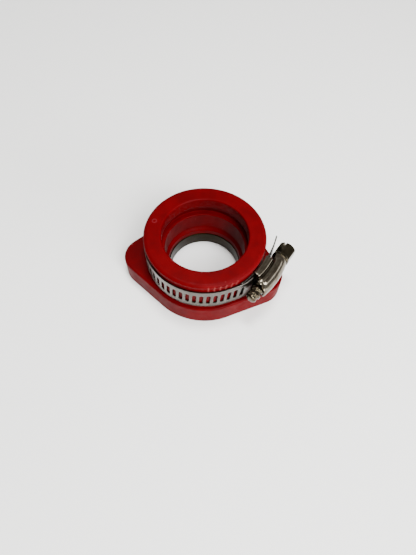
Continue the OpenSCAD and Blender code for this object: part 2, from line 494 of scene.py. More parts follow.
@dataclass(frozen=True)
class WorkedSteel(Finish):
    """Steel that shows how it was worked: colour, gloss, and lines that run one way."""

    colour: str
    tint: str
    roughness: float
    spread: float = 0.08
    line_mm: float = 0.12
    run_mm: float = 14.0
    lay: Lay = Lay.AROUND_Z
    bump: float = 0.12
    stain_mm: float = 3.0

    def along(self, tree: bpy.types.NodeTree) -> bpy.types.NodeSocket:
        """Stretches the texture space along the metal's lay.

        Args:
            tree: the node tree.

        Returns:
            A vector socket in which lines run the way the sheet or bar was worked.
        """
        place = add(tree, "ShaderNodeTexCoord").outputs["Object"]
        if self.lay is Lay.ALONG_SCREW:
            turned = add(tree, "ShaderNodeMapping",
                         {"Rotation": (0.0, 0.0, -Clamp.azimuth())}, {"Vector": place})
            return add(tree, "ShaderNodeVectorMath", {"operation": "MULTIPLY", 1: (
                per_mm(self.line_mm), per_mm(self.run_mm), per_mm(self.line_mm))},
                {0: turned.outputs["Vector"]}).outputs["Vector"]
        # Lines round the axis have one height and one radius, and a slow change with direction
        parts = add(tree, "ShaderNodeSeparateXYZ", links={0: place})
        squares = [add(tree, "ShaderNodeMath", {"operation": "MULTIPLY"},
                       {0: parts.outputs[k], 1: parts.outputs[k]}).outputs[0] for k in "XY"]
        total = add(tree, "ShaderNodeMath", {"operation": "ADD"}, {0: squares[0], 1: squares[1]})
        radius = add(tree, "ShaderNodeMath", {"operation": "SQRT"}, {0: total.outputs[0]})
        coarse = [add(tree, "ShaderNodeMath", {"operation": "MULTIPLY", 1: per_mm(self.run_mm)},
                      {0: parts.outputs[k]}).outputs[0] for k in "XY"]
        mixed = add(tree, "ShaderNodeMath", {"operation": "ADD"}, {0: coarse[0], 1: coarse[1]})
        fine = [add(tree, "ShaderNodeMath", {"operation": "MULTIPLY", 1: per_mm(self.line_mm)},
                    {0: source}).outputs[0] for source in (parts.outputs["Z"], radius.outputs[0])]
        joined = add(tree, "ShaderNodeCombineXYZ",
                     links={0: fine[0], 1: fine[1], 2: mixed.outputs[0]})
        return joined.outputs[0]

    def make(self) -> bpy.types.Material:
        """Makes the steel: worked lines, gloss that wanders and a faint stain."""
        material, tree, shader = self.start()
        place = add(tree, "ShaderNodeTexCoord").outputs["Object"]
        lines = add(tree, "ShaderNodeTexNoise",
                    {"Scale": 1.0, "Detail": 2.0, "Roughness": 0.5}, {"Vector": self.along(tree)})
        stain = add(tree, "ShaderNodeTexNoise",
                    {"Scale": per_mm(self.stain_mm), "Detail": 4.0, "Roughness": 0.6},
                    {"Vector": place})
        colour = ramp(tree, stain.outputs["Fac"],
                      [(0.42, linear(self.colour)), (0.78, linear(self.tint))])
        gloss = add(tree, "ShaderNodeMapRange",
                    {"From Min": 0.3, "From Max": 0.7, "To Min": self.roughness - self.spread,
                     "To Max": self.roughness + self.spread}, {"Value": lines.outputs["Fac"]})
        bump = add(tree, "ShaderNodeBump", {"Strength": self.bump, "Distance": 0.00002},
                   {"Height": lines.outputs["Fac"]})
        tree.links.new(colour, shader.inputs["Base Color"])
        tree.links.new(gloss.outputs["Result"], shader.inputs["Roughness"])
        tree.links.new(bump.outputs["Normal"], shader.inputs["Normal"])
        shader.inputs["Metallic"].default_value = 1.0
        return material


@dataclass(frozen=True)
class StudioPaper(Finish):
    """Matt white paper under the object."""

    colour: str = "f4f4f2"

    def make(self) -> bpy.types.Material:
        """Makes the paper: nearly white, with hardly any tooth."""
        material, tree, shader = self.start()
        place = add(tree, "ShaderNodeTexCoord").outputs["Object"]
        tooth = add(tree, "ShaderNodeTexNoise", {"Scale": per_mm(1.5), "Detail": 3.0},
                    {"Vector": place})
        bump = add(tree, "ShaderNodeBump", {"Strength": 0.05, "Distance": 0.00005},
                   {"Height": tooth.outputs["Fac"]})
        shader.inputs["Base Color"].default_value = linear(self.colour)
        shader.inputs["Roughness"].default_value = 0.9
        shader.inputs["Specular IOR Level"].default_value = 0.2
        tree.links.new(bump.outputs["Normal"], shader.inputs["Normal"])
        return material


# ---------------------------------------------------------------------------------------------
# The rubber body and its plate
# ---------------------------------------------------------------------------------------------

def mount(name: str) -> dict:
    """The record's mount of that name."""
    return next(m for m in frame["record"]["mounts"] if m["name"] == name)


@dataclass
class EarOutline:
    """Outline of a round middle and two ears, joined by straight tangents."""

    middle_r: float = 30.3
    ear_r: float = 10.9
    samples: int = 480
    ear_x: float = field(init=False)
    ear_y: float = field(init=False)

    def __post_init__(self) -> None:
        """Takes the ears' places from the bolt holes."""
        bolts = mount("flange_bolts")
        self.ear_x = bolts["dims"]["spacing_x_mm"] / 2
        self.ear_y = bolts["pos_m"][1] / MM

    def path(self, inset: float) -> np.ndarray:
        """Closely spaced points round the outline.

        Args:
            inset: how far the outline is drawn in, in millimetres.

        Returns:
            An array of x and y, anticlockwise.
        """
        big, small = self.middle_r - inset, self.ear_r - inset
        reach = math.hypot(self.ear_x, self.ear_y)
        lean = math.degrees(math.acos((big - small) / reach))
        right = math.degrees(math.atan2(self.ear_y, self.ear_x))
        left = 180 - right
        arcs = [arc(self.ear_x, self.ear_y, small, right - lean, right + lean, 90),
                arc(0, 0, big, right + lean, left - lean, 90),
                arc(-self.ear_x, self.ear_y, small, left - lean, left + lean, 90),
                arc(0, 0, big, left + lean, 360 + right - lean, 90)]
        points: list[Plane] = []
        for i, piece in enumerate(arcs):
            after = arcs[(i + 1) % 4][0]
            points += piece
            points += [(piece[-1][0] + (after[0] - piece[-1][0]) * k / 60,
                        piece[-1][1] + (after[1] - piece[-1][1]) * k / 60) for k in range(1, 60)]
        return np.array(points)

    def angles(self) -> np.ndarray:
        """Directions from the middle that are evenly spaced along the outline itself."""
        line = self.path(0.0)
        loop = np.vstack([line, line[:1]])
        travel = np.concatenate([[0], np.cumsum(np.hypot(*np.diff(loop, axis=0).T))])
        even = np.linspace(0, travel[-1], self.samples, endpoint=False)
        x, y = (np.interp(even, travel, loop[:, k]) for k in (0, 1))
        return np.unwrap(np.arctan2(y, x))

    def radii(self, angles: np.ndarray, inset: float) -> np.ndarray:
        """Distance from the middle to the outline in each direction.

        Args:
            angles: directions, in radians.
            inset: how far the outline is drawn in, in millimetres.

        Returns:
            One radius for each direction.
        """
        line = self.path(inset)
        turn = np.arctan2(line[:, 1], line[:, 0])
        order = np.argsort(turn)
        return np.interp(angles, turn[order], np.hypot(*line.T)[order], period=2 * math.pi)

    def row(self, kind: str, value: float, angles: np.ndarray) -> np.ndarray:
        """Radii of one row of a section.

        Args:
            kind: "inset" for a row that follows the outline, "radius" for a round one.
            value: the inset or the radius, in millimetres.
            angles: directions, in radians.

        Returns:
            One radius for each direction.
        """
        return self.radii(angles, value) if kind == "inset" else np.full(len(angles), value)


@dataclass
class RubberBody:
    """The moulding: collar with a clamp groove, stepped socket and a flange with two ears."""

    outline: EarOutline
    collar_r: float = 28.8
    groove_r: float = 28.0
    lip_z: float = 29.75
    lip_round: float = 2.0
    lip_drop: float = 1.35
    lip_under: float = 0.4
    relief_r: float = 22.2
    stop_z: float = 21.3
    throat_r: float = 19.5
    step_z: float = 11.6
    step_drop: float = 1.55
    flange_t: float = 12.4
    plate_inset: float = 2.0
    edge_round: float = 0.9
    foot_round: float = 0.5
    neck_round: float = 0.8
    mouth_round: float = 0.7
    duct_edge: float = 0.4
    groove_round: float = 0.25
    relief_h: float = 4.5
    step_round: float = 0.3
    throat_round: float = 0.5
    print_rows: tuple[float, float] = (26.6, 28.6)
    print_from: float = -76.0
    print_to: float = -50.0
    print_fade: float = 6.0
    print_at: float = -71.3
    print_depth: float = 0.22
    print_pitch: float = 5.4
    gate_at: tuple[float, float] = (24.9, math.radians(174))
    gate_r: float = 1.0
    gate_wire: float = 0.3
    gate_proud: float = 0.12

    def profile(self) -> list[tuple[str, float, float]]:
        """The section, from the plate's pocket out, up and back down the socket.

        Returns:
            Entries of "inset" or "radius", its value, and the height.
        """
        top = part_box("rubber_body")[1].z / MM - self.gate_proud
        plate_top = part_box("flange_plate")[1].z / MM
        socket_r = mount("pipe_socket")["dims"]["r_mm"]
        duct = mount("duct")["dims"]["r_mm"] + self.duct_edge
        rows: list[tuple[str, float, float]] = [
            ("inset", self.plate_inset, plate_top), ("inset", self.plate_inset, 0.12),
            ("inset", self.plate_inset - 0.12, 0.0)]
        rows += [("inset", -x, z) for x, z in
                 arc(-self.foot_round, self.foot_round, self.foot_round, 270, 360, 4)]
        rows += [("inset", -x, z) for x, z in
                 arc(-self.edge_round, self.flange_t - self.edge_round, self.edge_round, 0, 90, 6)]
        round_part = arc(self.groove_r + self.neck_round, self.flange_t + self.neck_round,
                         self.neck_round, 270, 180, 5)
        # Rows in the strip above the band, where clamping has left ridges in the neck
        low, high = self.print_rows
        round_part += [(self.groove_r, z) for z in (low - 0.4, low, high, high + 0.6)]
        round_part += arc(self.groove_r + self.groove_round, self.lip_z - self.groove_round,
                          self.groove_round, 180, 90, 3)
        round_part += arc(self.collar_r - self.lip_under, self.lip_z + self.lip_under,
                          self.lip_under, 270, 360, 5)
        round_part += [(self.collar_r - self.lip_round + x * self.lip_round,
                        top - self.lip_drop + z * self.lip_drop)
                       for x, z in arc(0, 0, 1, 0, 90, 12)]
        round_part += arc(socket_r + self.mouth_round, top - self.mouth_round,
                          self.mouth_round, 90, 180, 5)
        taper_top = self.stop_z + self.relief_h
        round_part += [(socket_r, taper_top + 0.8), (socket_r + 0.08, taper_top),
                       (self.relief_r - 0.1, self.stop_z + 0.6)]
        round_part += arc(self.relief_r - self.step_round, self.stop_z + self.step_round,
                          self.step_round, 0, -90, 3)
        round_part += arc(self.throat_r + self.throat_round, self.stop_z - self.throat_round,
                          self.throat_round, 90, 180, 4)
        round_part += [(self.throat_r, self.step_z + 0.35),
                       (self.throat_r - 0.1, self.step_z - 0.05),
                       (self.throat_r - 0.3, self.step_z - 0.25)]
        round_part += [(duct + 0.35, self.step_z - self.step_drop + 0.3),
                       (duct + 0.08, self.step_z - self.step_drop),
                       (duct, self.step_z - self.step_drop - 0.3), (duct, plate_top + 0.3),
                       (duct, plate_top)]
        return rows + [("radius", r, z) for r, z in round_part]

    def build(self) -> bpy.types.Object:
        """Sweeps the section round the axis, following the ears where it lies in the flange.

        Returns:
            One closed piece.
        """
        angles = self.outline.angles()
        draft = MeshDraft()
        rings = []
        for kind, value, z in self.profile():
            radii = self.outline.row(kind, value, angles)
            if value == self.groove_r and z in self.print_rows:
                radii = radii + self.clamp_print(angles)
            rings.append(draft.around(radii, angles, z))
        draft.loft(rings, tube=True)
        return even_shading(draft.build("moulded_body"))

    def clamp_print(self, angles: np.ndarray) -> np.ndarray:
        """Ridges that clamping has raised in the neck above the band, on its front only.

        Args:
            angles: directions round the axis, in radians.

        Returns:
            How far the surface stands out in each direction, in millimetres.
        """
        degrees = (np.degrees(angles) + 180) % 360 - 180
        phase = 2 * math.pi * (degrees - self.print_at) / self.print_pitch
        wave = np.maximum(0.0, np.cos(phase))
        window = np.array([fade(d, self.print_from - self.print_fade, self.print_from)
                           * fade(-d, -self.print_to - self.print_fade, -self.print_to)
                           for d in degrees])
        return self.print_depth * wave ** 3 * window

    def gate_mark(self) -> bpy.types.Object:
        """The ring that the mould's filling gate has left on the lip.

        Returns:
            A shallow ring, sunk into the lip's top face.
        """
        middle_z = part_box("rubber_body")[1].z / MM - self.gate_wire
        at_r, turn = self.gate_at
        angles = [math.radians(a) for a in range(0, 360, 15)]
        centre = (at_r * math.cos(turn), at_r * math.sin(turn))
        draft = MeshDraft()
        section = arc(self.gate_r, 0.0, self.gate_wire, 0, 360, 10)[:-1]
        draft.loft([draft.around([r] * len(angles), angles, middle_z + z, centre)
                    for r, z in section], tube=True)
        return settle(draft.build("gate_mark"))


@dataclass
class FlangePlate:
    """The bonded metal plate: a bored duct with broken edges and two tapped holes."""

    outline: EarOutline
    inset: float = 2.03
    edge: float = 0.3
    thread_depth: float = 0.45
    thread_pitch: float = 1.25
    sink: float = 0.6
    runout: float = 0.1

    def build(self) -> bpy.types.Object:
        """Makes the plate with its bores.

        Returns:
            One closed piece.
        """
        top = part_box("flange_plate")[1].z / MM
        duct = mount("duct")["dims"]["r_mm"]
        angles = self.outline.angles()
        rows = [("inset", self.inset, self.edge), ("inset", self.inset, top),
                ("radius", duct + self.edge, top), ("radius", duct, top - self.edge),
                ("radius", duct, self.edge), ("radius", duct + self.edge, 0.0),
                ("inset", self.inset + self.edge, 0.0)]
        draft = MeshDraft()
        draft.loft([draft.around(self.outline.row(kind, value, angles), angles, z)
                    for kind, value, z in rows], tube=True)
        plate = draft.build("bonded_plate")
        for side in (-1, 1):
            cut(plate, self.drill(side, top))
        return even_shading(plate)

    def drill(self, side: int, top: float) -> bpy.types.Object:
        """The tool that opens one tapped hole, with its countersunk mouth.

        Args:
            side: -1 for the left ear, 1 for the right.
            top: height of the plate's upper face.

        Returns:
            A closed object to cut with.
        """
        hole = mount("flange_bolts")["dims"]["hole_r_mm"] + self.thread_depth
        mouth = hole + self.sink
        section = [(mouth, -1.0), (mouth, -0.05), (hole, self.sink - 0.05), (hole, top + 1.0)]
        angles = np.linspace(0, 2 * math.pi, 64, endpoint=False)
        draft = MeshDraft()
        draft.loft([draft.around([r] * len(angles), angles, z, self.hole(side))
                    for r, z in section])
        return draft.build("drill")

    def hole(self, side: int) -> Plane:
        """The middle of one tapped hole: -1 for the left ear, 1 for the right."""
        return (side * self.outline.ear_x, self.outline.ear_y)

    def thread(self, side: int) -> bpy.types.Object:
        """The cut thread of one hole, as a closed sleeve that lines it.

        Args:
            side: -1 for the left ear, 1 for the right.

        Returns:
            The threaded sleeve.
        """
        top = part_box("flange_plate")[1].z / MM - self.runout
        crest = mount("flange_bolts")["dims"]["hole_r_mm"]
        outer = crest + self.thread_depth + 0.02
        around = 48
        rows = int((top - self.sink) / self.thread_pitch * 12)
        angles = np.linspace(0, 2 * math.pi, around, endpoint=False)
        draft = MeshDraft()
        rings = []
        for i in range(rows + 1):
            z = self.sink + (top - self.sink) * i / rows
            radii = [crest + self.thread_depth * 0.9
                     * abs(2 * ((z / self.thread_pitch - k / around) % 1.0) - 1)
                     for k in range(around)]
            rings.append(draft.around(radii, angles, z, self.hole(side)))
        rings += [draft.around([outer] * around, angles, z, self.hole(side))
                  for z in (top, self.sink)]
        draft.loft(rings, tube=True)
        return settle(draft.build("tapped_thread_left" if side < 0 else "tapped_thread_right"))


# ---------------------------------------------------------------------------------------------
# The clamp
# ---------------------------------------------------------------------------------------------

class Clamp:
    """Where the clamp sits: u points outwards through the screw, t along it, z up."""

    @staticmethod
    def joint(name: str) -> dict:
        """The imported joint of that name."""
        return next(j for j in frame["joints"] if j["name"] == name)

    @classmethod
    def azimuth(cls) -> float:
        """Direction of the housing round the collar, in radians from +X."""
        x, y, _ = cls.joint("screw_turn")["pos_m"]
        return math.atan2(y, x)

    @classmethod
    def screw_u(cls) -> float:
        """Distance of the screw's axis from the duct's axis, in millimetres."""
        x, y, _ = cls.joint("screw_turn")["pos_m"]
        return math.hypot(x, y) / MM

    @classmethod
    def mid_z(cls) -> float:
        """Height of the band's middle, in millimetres."""
        return cls.joint("screw_turn")["pos_m"][2] / MM

    @classmethod
    def world(cls, u: float, t: float, z: float) -> Point:
        """Turns a place on the clamp to the part's frame.

        Args:
            u: distance outwards from the duct's axis.
            t: distance along the screw, towards its head.
            z: height above the band's middle.

        Returns:
            The place in the part's frame, in millimetres.
        """
        c, s = math.cos(cls.azimuth()), math.sin(cls.azimuth())
        return (u * c - t * s, u * s + t * c, z + cls.mid_z())


@dataclass(frozen=True)
class Stretch:
    """One stretch of the band's inner face: an arc, or a straight line where radius is 0."""

    length: float
    start: Plane
    heading: float
    radius: float = 0.0

    def at(self, s: float, out: float) -> Plane:
        """A place beside the stretch.

        Args:
            s: distance along it.
            out: distance outwards from it.

        Returns:
            The place as u and t.
        """
        if self.radius == 0:
            du, dt = -math.sin(self.heading), math.cos(self.heading)
            return (self.start[0] + s * du + out * dt, self.start[1] + s * dt - out * du)
        cu = self.start[0] - self.radius * math.cos(self.heading)
        ct = self.start[1] - self.radius * math.sin(self.heading)
        a = self.heading + s / self.radius
        return (cu + (self.radius + out) * math.cos(a), ct + (self.radius + out) * math.sin(a))

    def after(self) -> tuple[Plane, float]:
        """Where the stretch ends and how far it has turned by then."""
        turned = self.length / self.radius if self.radius else 0.0
        return self.at(self.length, 0.0), self.heading + turned


@dataclass
class Strip:
    """A strip of band with slots punched through it, laid along a path."""

    stretches: list[Stretch]
    width: float
    thickness: float = 0.65
    pitch: float = 3.175
    slot_l: float = 7.0
    slot_w: float = 1.8
    lean: float = math.radians(3.0)
    corner: float = 0.7
    edge: float = 0.07
    nose: float = 0.0
    step: float = 0.8
    square_end: float = 3.0

    @property
    def length(self) -> float:
        """The strip's length in millimetres."""
        return sum(piece.length for piece in self.stretches)

    def place(self, s: float, out: float, z: float) -> Point:
        """Maps a point of the flat strip to the part's frame.

        Args:
            s: distance along the strip.
            out: distance outwards from its inner face.
            z: height above its middle line.

        Returns:
            The place in the part's frame.
        """
        ends = fade(s, 0.0, self.square_end) * fade(self.length - s, 0.0, self.square_end)
        s = s + min(max(z, -self.slot_l / 2), self.slot_l / 2) * math.tan(self.lean) * ends
        if self.nose:
            over = max(0.0, s - (self.length - self.nose))
            half = self.width / 2
            z *= (half - self.nose + math.sqrt(max(0.0, self.nose ** 2 - over ** 2))) / half
        for i, piece in enumerate(self.stretches):
            if s <= piece.length or i == len(self.stretches) - 1:
                u, t = piece.at(s, out)
                return Clamp.world(u, t, z)
            s -= piece.length
        raise ValueError("the strip has no stretches")

    def rows(self) -> list[float]:
        """Heights at which the flat strip has vertices, lowest first."""
        half = self.slot_l / 2
        upper = [0.0, half * 0.42, half - self.corner, half - 0.15, half + 0.9]
        return [-z for z in upper[:0:-1]] + upper

    def slot_loop(self, s0: float) -> tuple[list[Plane], list[Plane]]:
        """A punched slot and the cell round it.

        Args:
            s0: where the cell starts along the strip.

        Returns:
            The cell's border and the slot's border, with as many points each, in s and z.
        """
        rows, p = self.rows(), self.pitch
        half_w, half_l, c = self.slot_w / 2, self.slot_l / 2, self.corner
        mid = s0 + p / 2
        across = [0.16 * p, 0.36 * p, 0.64 * p, 0.84 * p]
        border = [(s0, z) for z in rows] + [(s0 + x, rows[-1]) for x in across]
        border += [(s0 + p, z) for z in rows[::-1]] + [(s0 + x, rows[0]) for x in across[::-1]]
        sides = [z for z in rows if abs(z) < half_l - c - 0.01]
        hole = arc(mid - half_w + c, -half_l + c, c, 225, 180, 2)
        hole += [(mid - half_w, z) for z in sides]
        hole += arc(mid - half_w + c, half_l - c, c, 180, 90, 4)
        hole += arc(mid + half_w - c, half_l - c, c, 90, 0, 4)
        hole += [(mid + half_w, z) for z in sides[::-1]]
        hole += arc(mid + half_w - c, -half_l + c, c, 0, -90, 4)
        hole += arc(mid - half_w + c, -half_l + c, c, 270, 236, 1)
        return border, hole[:len(border)]

    def build(self, name: str, slots: Sequence[float]) -> bpy.types.Object:
        """Makes the strip.

        Args:
            name: the piece's name.
            slots: where each slotted cell starts along the strip, lowest first.

        Returns:
            One closed piece.
        """
        flat = FlatSheet()
        rows, half = self.rows(), self.width / 2
        heights = [-half] + rows + [half]
        here = 0.0
        for s0 in list(slots) + [self.length]:
            gap = s0 - here
            if gap > 1e-6:
                count = max(1, math.ceil(gap / self.step))
                for i in range(count):
                    flat.block(here + gap * i / count, here + gap * (i + 1) / count, heights)
            if s0 < self.length:
                border, hole = self.slot_loop(s0)
                flat.frame(border, hole)
                marks = [s0] + [x for x, z in border if z == rows[-1] and s0 < x < s0 + self.pitch]
                marks += [s0 + self.pitch]
                for a, b in zip(marks, marks[1:]):
                    flat.block(a, b, [-half, rows[0]])
                    flat.block(a, b, [rows[-1], half])
                here = s0 + self.pitch
        draft = flat.thicken(self.place, self.thickness)
        return round_edges(draft.build(name), self.edge)


class FlatSheet:
    """A flat pattern of quads, which becomes a sheet with a thickness."""

    def __init__(self) -> None:
        """Starts an empty pattern."""
        self.keys: dict[tuple[float, float], int] = {}
        self.flat: list[Plane] = []
        self.quads: list[tuple[int, ...]] = []

    def index(self, s: float, z: float) -> int:
        """The number of the vertex at a place, made on first use."""
        key = (round(s, 4), round(z, 4))
        if key not in self.keys:
            self.keys[key] = len(self.flat)
            self.flat.append((s, z))
        return self.keys[key]

    def block(self, s0: float, s1: float, heights: Sequence[float]) -> None:
        """Adds a column of quads between two places along the sheet."""
        for low, high in zip(heights, heights[1:]):
            self.quads.append(tuple(self.index(s, z) for s, z in
                                    ((s0, low), (s1, low), (s1, high), (s0, high))))

    def frame(self, border: Sequence[Plane], hole: Sequence[Plane]) -> None:
        """Adds the ring of quads between a border and a hole of as many points."""
        outer = [self.index(*p) for p in border]
        inner = [self.index(*p) for p in hole]
        count = len(outer)
        for i in range(count):
            j = (i + 1) % count
            self.quads.append((outer[i], inner[i], inner[j], outer[j]))

    def thicken(self, place: Callable[[float, float, float], Point],
                thickness: float) -> MeshDraft:
        """Gives the pattern two faces and the walls between them.

        Args:
            place: maps distance along, distance outwards and height to the part's frame.
            thickness: the sheet's thickness in millimetres.

        Returns:
            A closed draft.
        """
        draft = MeshDraft()
        inner = draft.ring(place(s, 0.0, z) for s, z in self.flat)
        outer = draft.ring(place(s, thickness, z) for s, z in self.flat)
        edges: dict[frozenset[int], list[tuple[int, int]]] = {}
        for quad in self.quads:
            draft.faces.append(tuple(outer[i] for i in quad))
            draft.faces.append(tuple(inner[i] for i in reversed(quad)))
            for a, b in zip(quad, quad[1:] + quad[:1]):
                edges.setdefault(frozenset((a, b)), []).append((a, b))
        for uses in edges.values():
            if len(uses) == 1:
                a, b = uses[0]
                draft.faces.append((inner[a], inner[b], outer[b], outer[a]))
        return draft


@dataclass
class ClampBand:
    """The perforated band: one loop round the collar, its free tail and the bridge under it."""

    inner_r: float = 28.3
    thickness: float = 0.65
    layer_u: float = 29.25
    width: float = 12.7
    fixed_end: float = 12.5
    bridge_from: float = -20.0
    lift: float = 34.0
    entry_r: float = 16.0
    stop_t: float = -4.0
    first_slot: float = 2.3
    tail_r: float = 60.0
    tail_bend: float = 3.5
    tail_start: float = 2.9
    tail_l: float = 22.2
    tail_nose: float = 4.5
    tail_first: float = 1.2
    tail_slots: int = 5
    side_gap: float = 0.15
    bridge_gap: float = 0.2

    def loop(self) -> Strip:
        """The loop from its fixed end under the housing, round the collar and back."""
        start, lift = math.radians(self.fixed_end), math.radians(self.lift)
        round_l = self.inner_r * (2 * math.pi - lift - start)
        first = Stretch(round_l, (self.inner_r * math.cos(start), self.inner_r * math.sin(start)),
                        start, self.inner_r)
        rise = self.layer_u - self.inner_r * math.cos(lift) - self.entry_r * (1 - math.cos(lift))
        end, heading = first.after()
        line = Stretch(rise / math.sin(lift), end, heading)
        end, heading = line.after()
        mid_t = end[1] + self.entry_r * math.sin(lift)
        turn = lift + math.asin((self.stop_t - mid_t) / self.entry_r)
        entry = Stretch(self.entry_r * turn, end, heading, self.entry_r)
        return Strip([first, line, entry], self.width, self.thickness)

    def tail(self) -> Strip:
        """The free end, which follows its own wide bend out past the screw's head."""
        start = -(self.tail_bend - self.tail_start) / self.tail_r
        centre = (self.layer_u - self.tail_r, self.tail_bend)
        begin = (centre[0] + self.tail_r * math.cos(start),
                 centre[1] + self.tail_r * math.sin(start))
        strip = Strip([Stretch(self.tail_l, begin, start, self.tail_r)],
                      self.width - 2 * self.side_gap, self.thickness)
        strip.nose = self.tail_nose
        return strip

    def build(self) -> list[bpy.types.Object]:
        """Makes the loop, the tail and the bridge plate.

        Returns:
            The three pieces, in that order.
        """
        loop, tail = self.loop(), self.tail()
        lift_s = loop.stretches[0].length
        last = lift_s - self.first_slot - loop.pitch / 2 + 3 * loop.pitch
        count = int(last / loop.pitch) - 2
        cells = [last - i * loop.pitch for i in range(count)][::-1]
        outer = loop.build("perforated_band", [s for s in cells if s + loop.pitch < loop.length])
        tail_cells = [self.tail_first + i * tail.pitch for i in range(self.tail_slots)]
        free = tail.build("band_free_end", tail_cells)
        start = math.radians(self.bridge_from)
        begin = (self.inner_r * math.cos(start), self.inner_r * math.sin(start))
        span = math.radians(self.fixed_end - self.bridge_gap - self.bridge_from)
        bridge = Strip([Stretch(self.inner_r * span, begin, start, self.inner_r)], self.width,
                       self.thickness)
        return [outer, free, bridge.build("bridge_plate", [])]


@dataclass
class ScrewHousing:
    """The pressed housing: a wide base that grips the band's edges, and a beaded arch."""

    sheet: float = 0.8
    arch_shift: float = 0.9
    arch_r: float = 4.0
    base_low: float = 28.85
    base_high: float = 31.8
    half_base: float = 6.75
    shoulder_r: float = 0.9
    inner_r: float = 0.7
    base_t: tuple[float, float] = (-2.0, 9.3)
    arch_t: tuple[float, float] = (-5.5, 14.9)
    slant: float = 2.6
    bend_r: float = 41.0
    bend_t: float = 4.5
    beads: tuple[float, ...] = (104.0, 69.0)
    bead_h: float = 0.5
    bead_w: float = 9.0
    bead_ends: tuple[float, float] = (2.2, 1.6)
    collar_hole: float = 3.1

    def half_section(self) -> list[tuple[float, float, float]]:
        """The sheet's middle line from the arch's crown round to one leg's end.

        Returns:
            Entries of u, z and the angle round the arch in degrees, or -1 off the arch.
        """
        middle = Clamp.screw_u() + self.arch_shift
        line = [(u, z, a) for (u, z), a in
                zip(arc(middle, 0, self.arch_r, 0, 90, 30), np.linspace(0, 90, 31))]
        flat_end = self.base_high + self.inner_r
        count = 6
        line += [(middle + (flat_end - middle) * i / count, self.arch_r, 90 + 4.5 * i)
                 for i in range(1, count + 1)]
        foot = arc(flat_end, self.arch_r + self.inner_r, self.inner_r, 270, 180, 4)[1:]
        line += [(u, z, -1.0) for u, z in foot]
        top = self.half_base - self.shoulder_r
        outer = arc(self.base_high - self.shoulder_r, top, self.shoulder_r, 0, 90, 6)
        line += [(u, z, -1.0) for u, z in outer]
        reach = self.base_high - self.shoulder_r - self.base_low
        line += [(self.base_high - self.shoulder_r - reach * i / 4, self.half_base, -1.0)
                 for i in range(1, 5)]
        return line

    def bead(self, angle: float, t: float) -> float:
        """How far the beads lift the arch at a place.

        Args:
            angle: angle round the arch, in degrees from straight out.
            t: place along the screw.

        Returns:
            The lift in millimetres.
        """
        if angle < 0:
            return 0.0
        front, rear = self.bead_ends
        low, high = self.arch_t[0] + front, self.arch_t[1] - rear
        along = fade(t, low, low + rear) * fade(-t, -high, -high + rear)
        across = sum(math.exp(-((angle - b) / self.bead_w) ** 2 * 2.2) for b in self.beads)
        return self.bead_h * along * min(1.0, across)

    def bent(self, u: float, t: float, z: float) -> Point:
        """Places a point of the straight pressing on its bend, which follows the collar."""
        centre = Clamp.screw_u() + self.arch_shift - self.bend_r
        return Clamp.world(centre + math.sqrt((u - centre) ** 2 - (t - self.bend_t) ** 2), t, z)

    def stations(self) -> list[float]:
        """Places along the screw where the pressing has a row of vertices."""
        t0, t1 = self.base_t
        front = [self.arch_t[0] + (t0 - self.arch_t[0]) * i / 5 for i in range(5)]
        base = [t0 + (t1 - t0) * i / 16 for i in range(16)]
        rear = [t1 + (self.arch_t[1] - t1) * i / 8 for i in range(9)]
        return front + base + rear

    def build(self) -> bpy.types.Object:
        """Makes the housing, with a curled-in rear end round the screw's neck.

        Returns:
            One closed piece.
        """
        half = self.half_section()
        arch_n = sum(1 for entry in half if entry[2] >= 0)
        line = [(u, -z, a) for u, z, a in half[:0:-1]] + half
        centre = len(half) - 1
        rows = self.stations()
        draft = MeshDraft()
        grid = []
        for t in rows:
            ring = []
            for k, (u, z, angle) in enumerate(line):
                lift = self.bead(angle, t)
                au = math.radians(min(angle, 90.0)) if angle >= 0 else 0.0
                uu, zz = u + lift * math.cos(au), z + math.copysign(lift * math.sin(au), z)
                share = min(1.0, max(0.0, (self.base_t[0] - t) / (self.base_t[0] - self.arch_t[0])))
                reach = (u - self.base_high) / (Clamp.screw_u() + self.arch_shift + self.arch_r
                                                - self.base_high)
                back = self.slant * (1 - min(1.0, max(0.0, reach))) * share
                ring.append(self.bent(uu, t + back, zz))
            grid.append(draft.ring(ring))
        for i in range(len(rows) - 1):
            mid = (rows[i] + rows[i + 1]) / 2
            for k in range(len(line) - 1):
                on_arch = min(abs(k - centre), abs(k + 1 - centre)) < arch_n - 1
                if on_arch or self.base_t[0] < mid < self.base_t[1]:
                    draft.faces.append((grid[i][k], grid[i][k + 1],
                                        grid[i + 1][k + 1], grid[i + 1][k]))
        self.rear_wall(draft, grid[-1], line, centre, arch_n)
        used = sorted({i for face in draft.faces for i in face})
        renumber = {old: new for new, old in enumerate(used)}
        draft.points = [draft.points[i] for i in used]
        draft.faces = [tuple(renumber[i] for i in face) for face in draft.faces]
        shell = draft.build("screw_housing")
        solid = shell.modifiers.new("sheet", "SOLIDIFY")
        solid.thickness = self.sheet * MM
        solid.offset = 0.0
        solid.use_even_offset = True
        settle(shell, smooth=False)
        return round_edges(shell, 0.16, 3, 50.0)

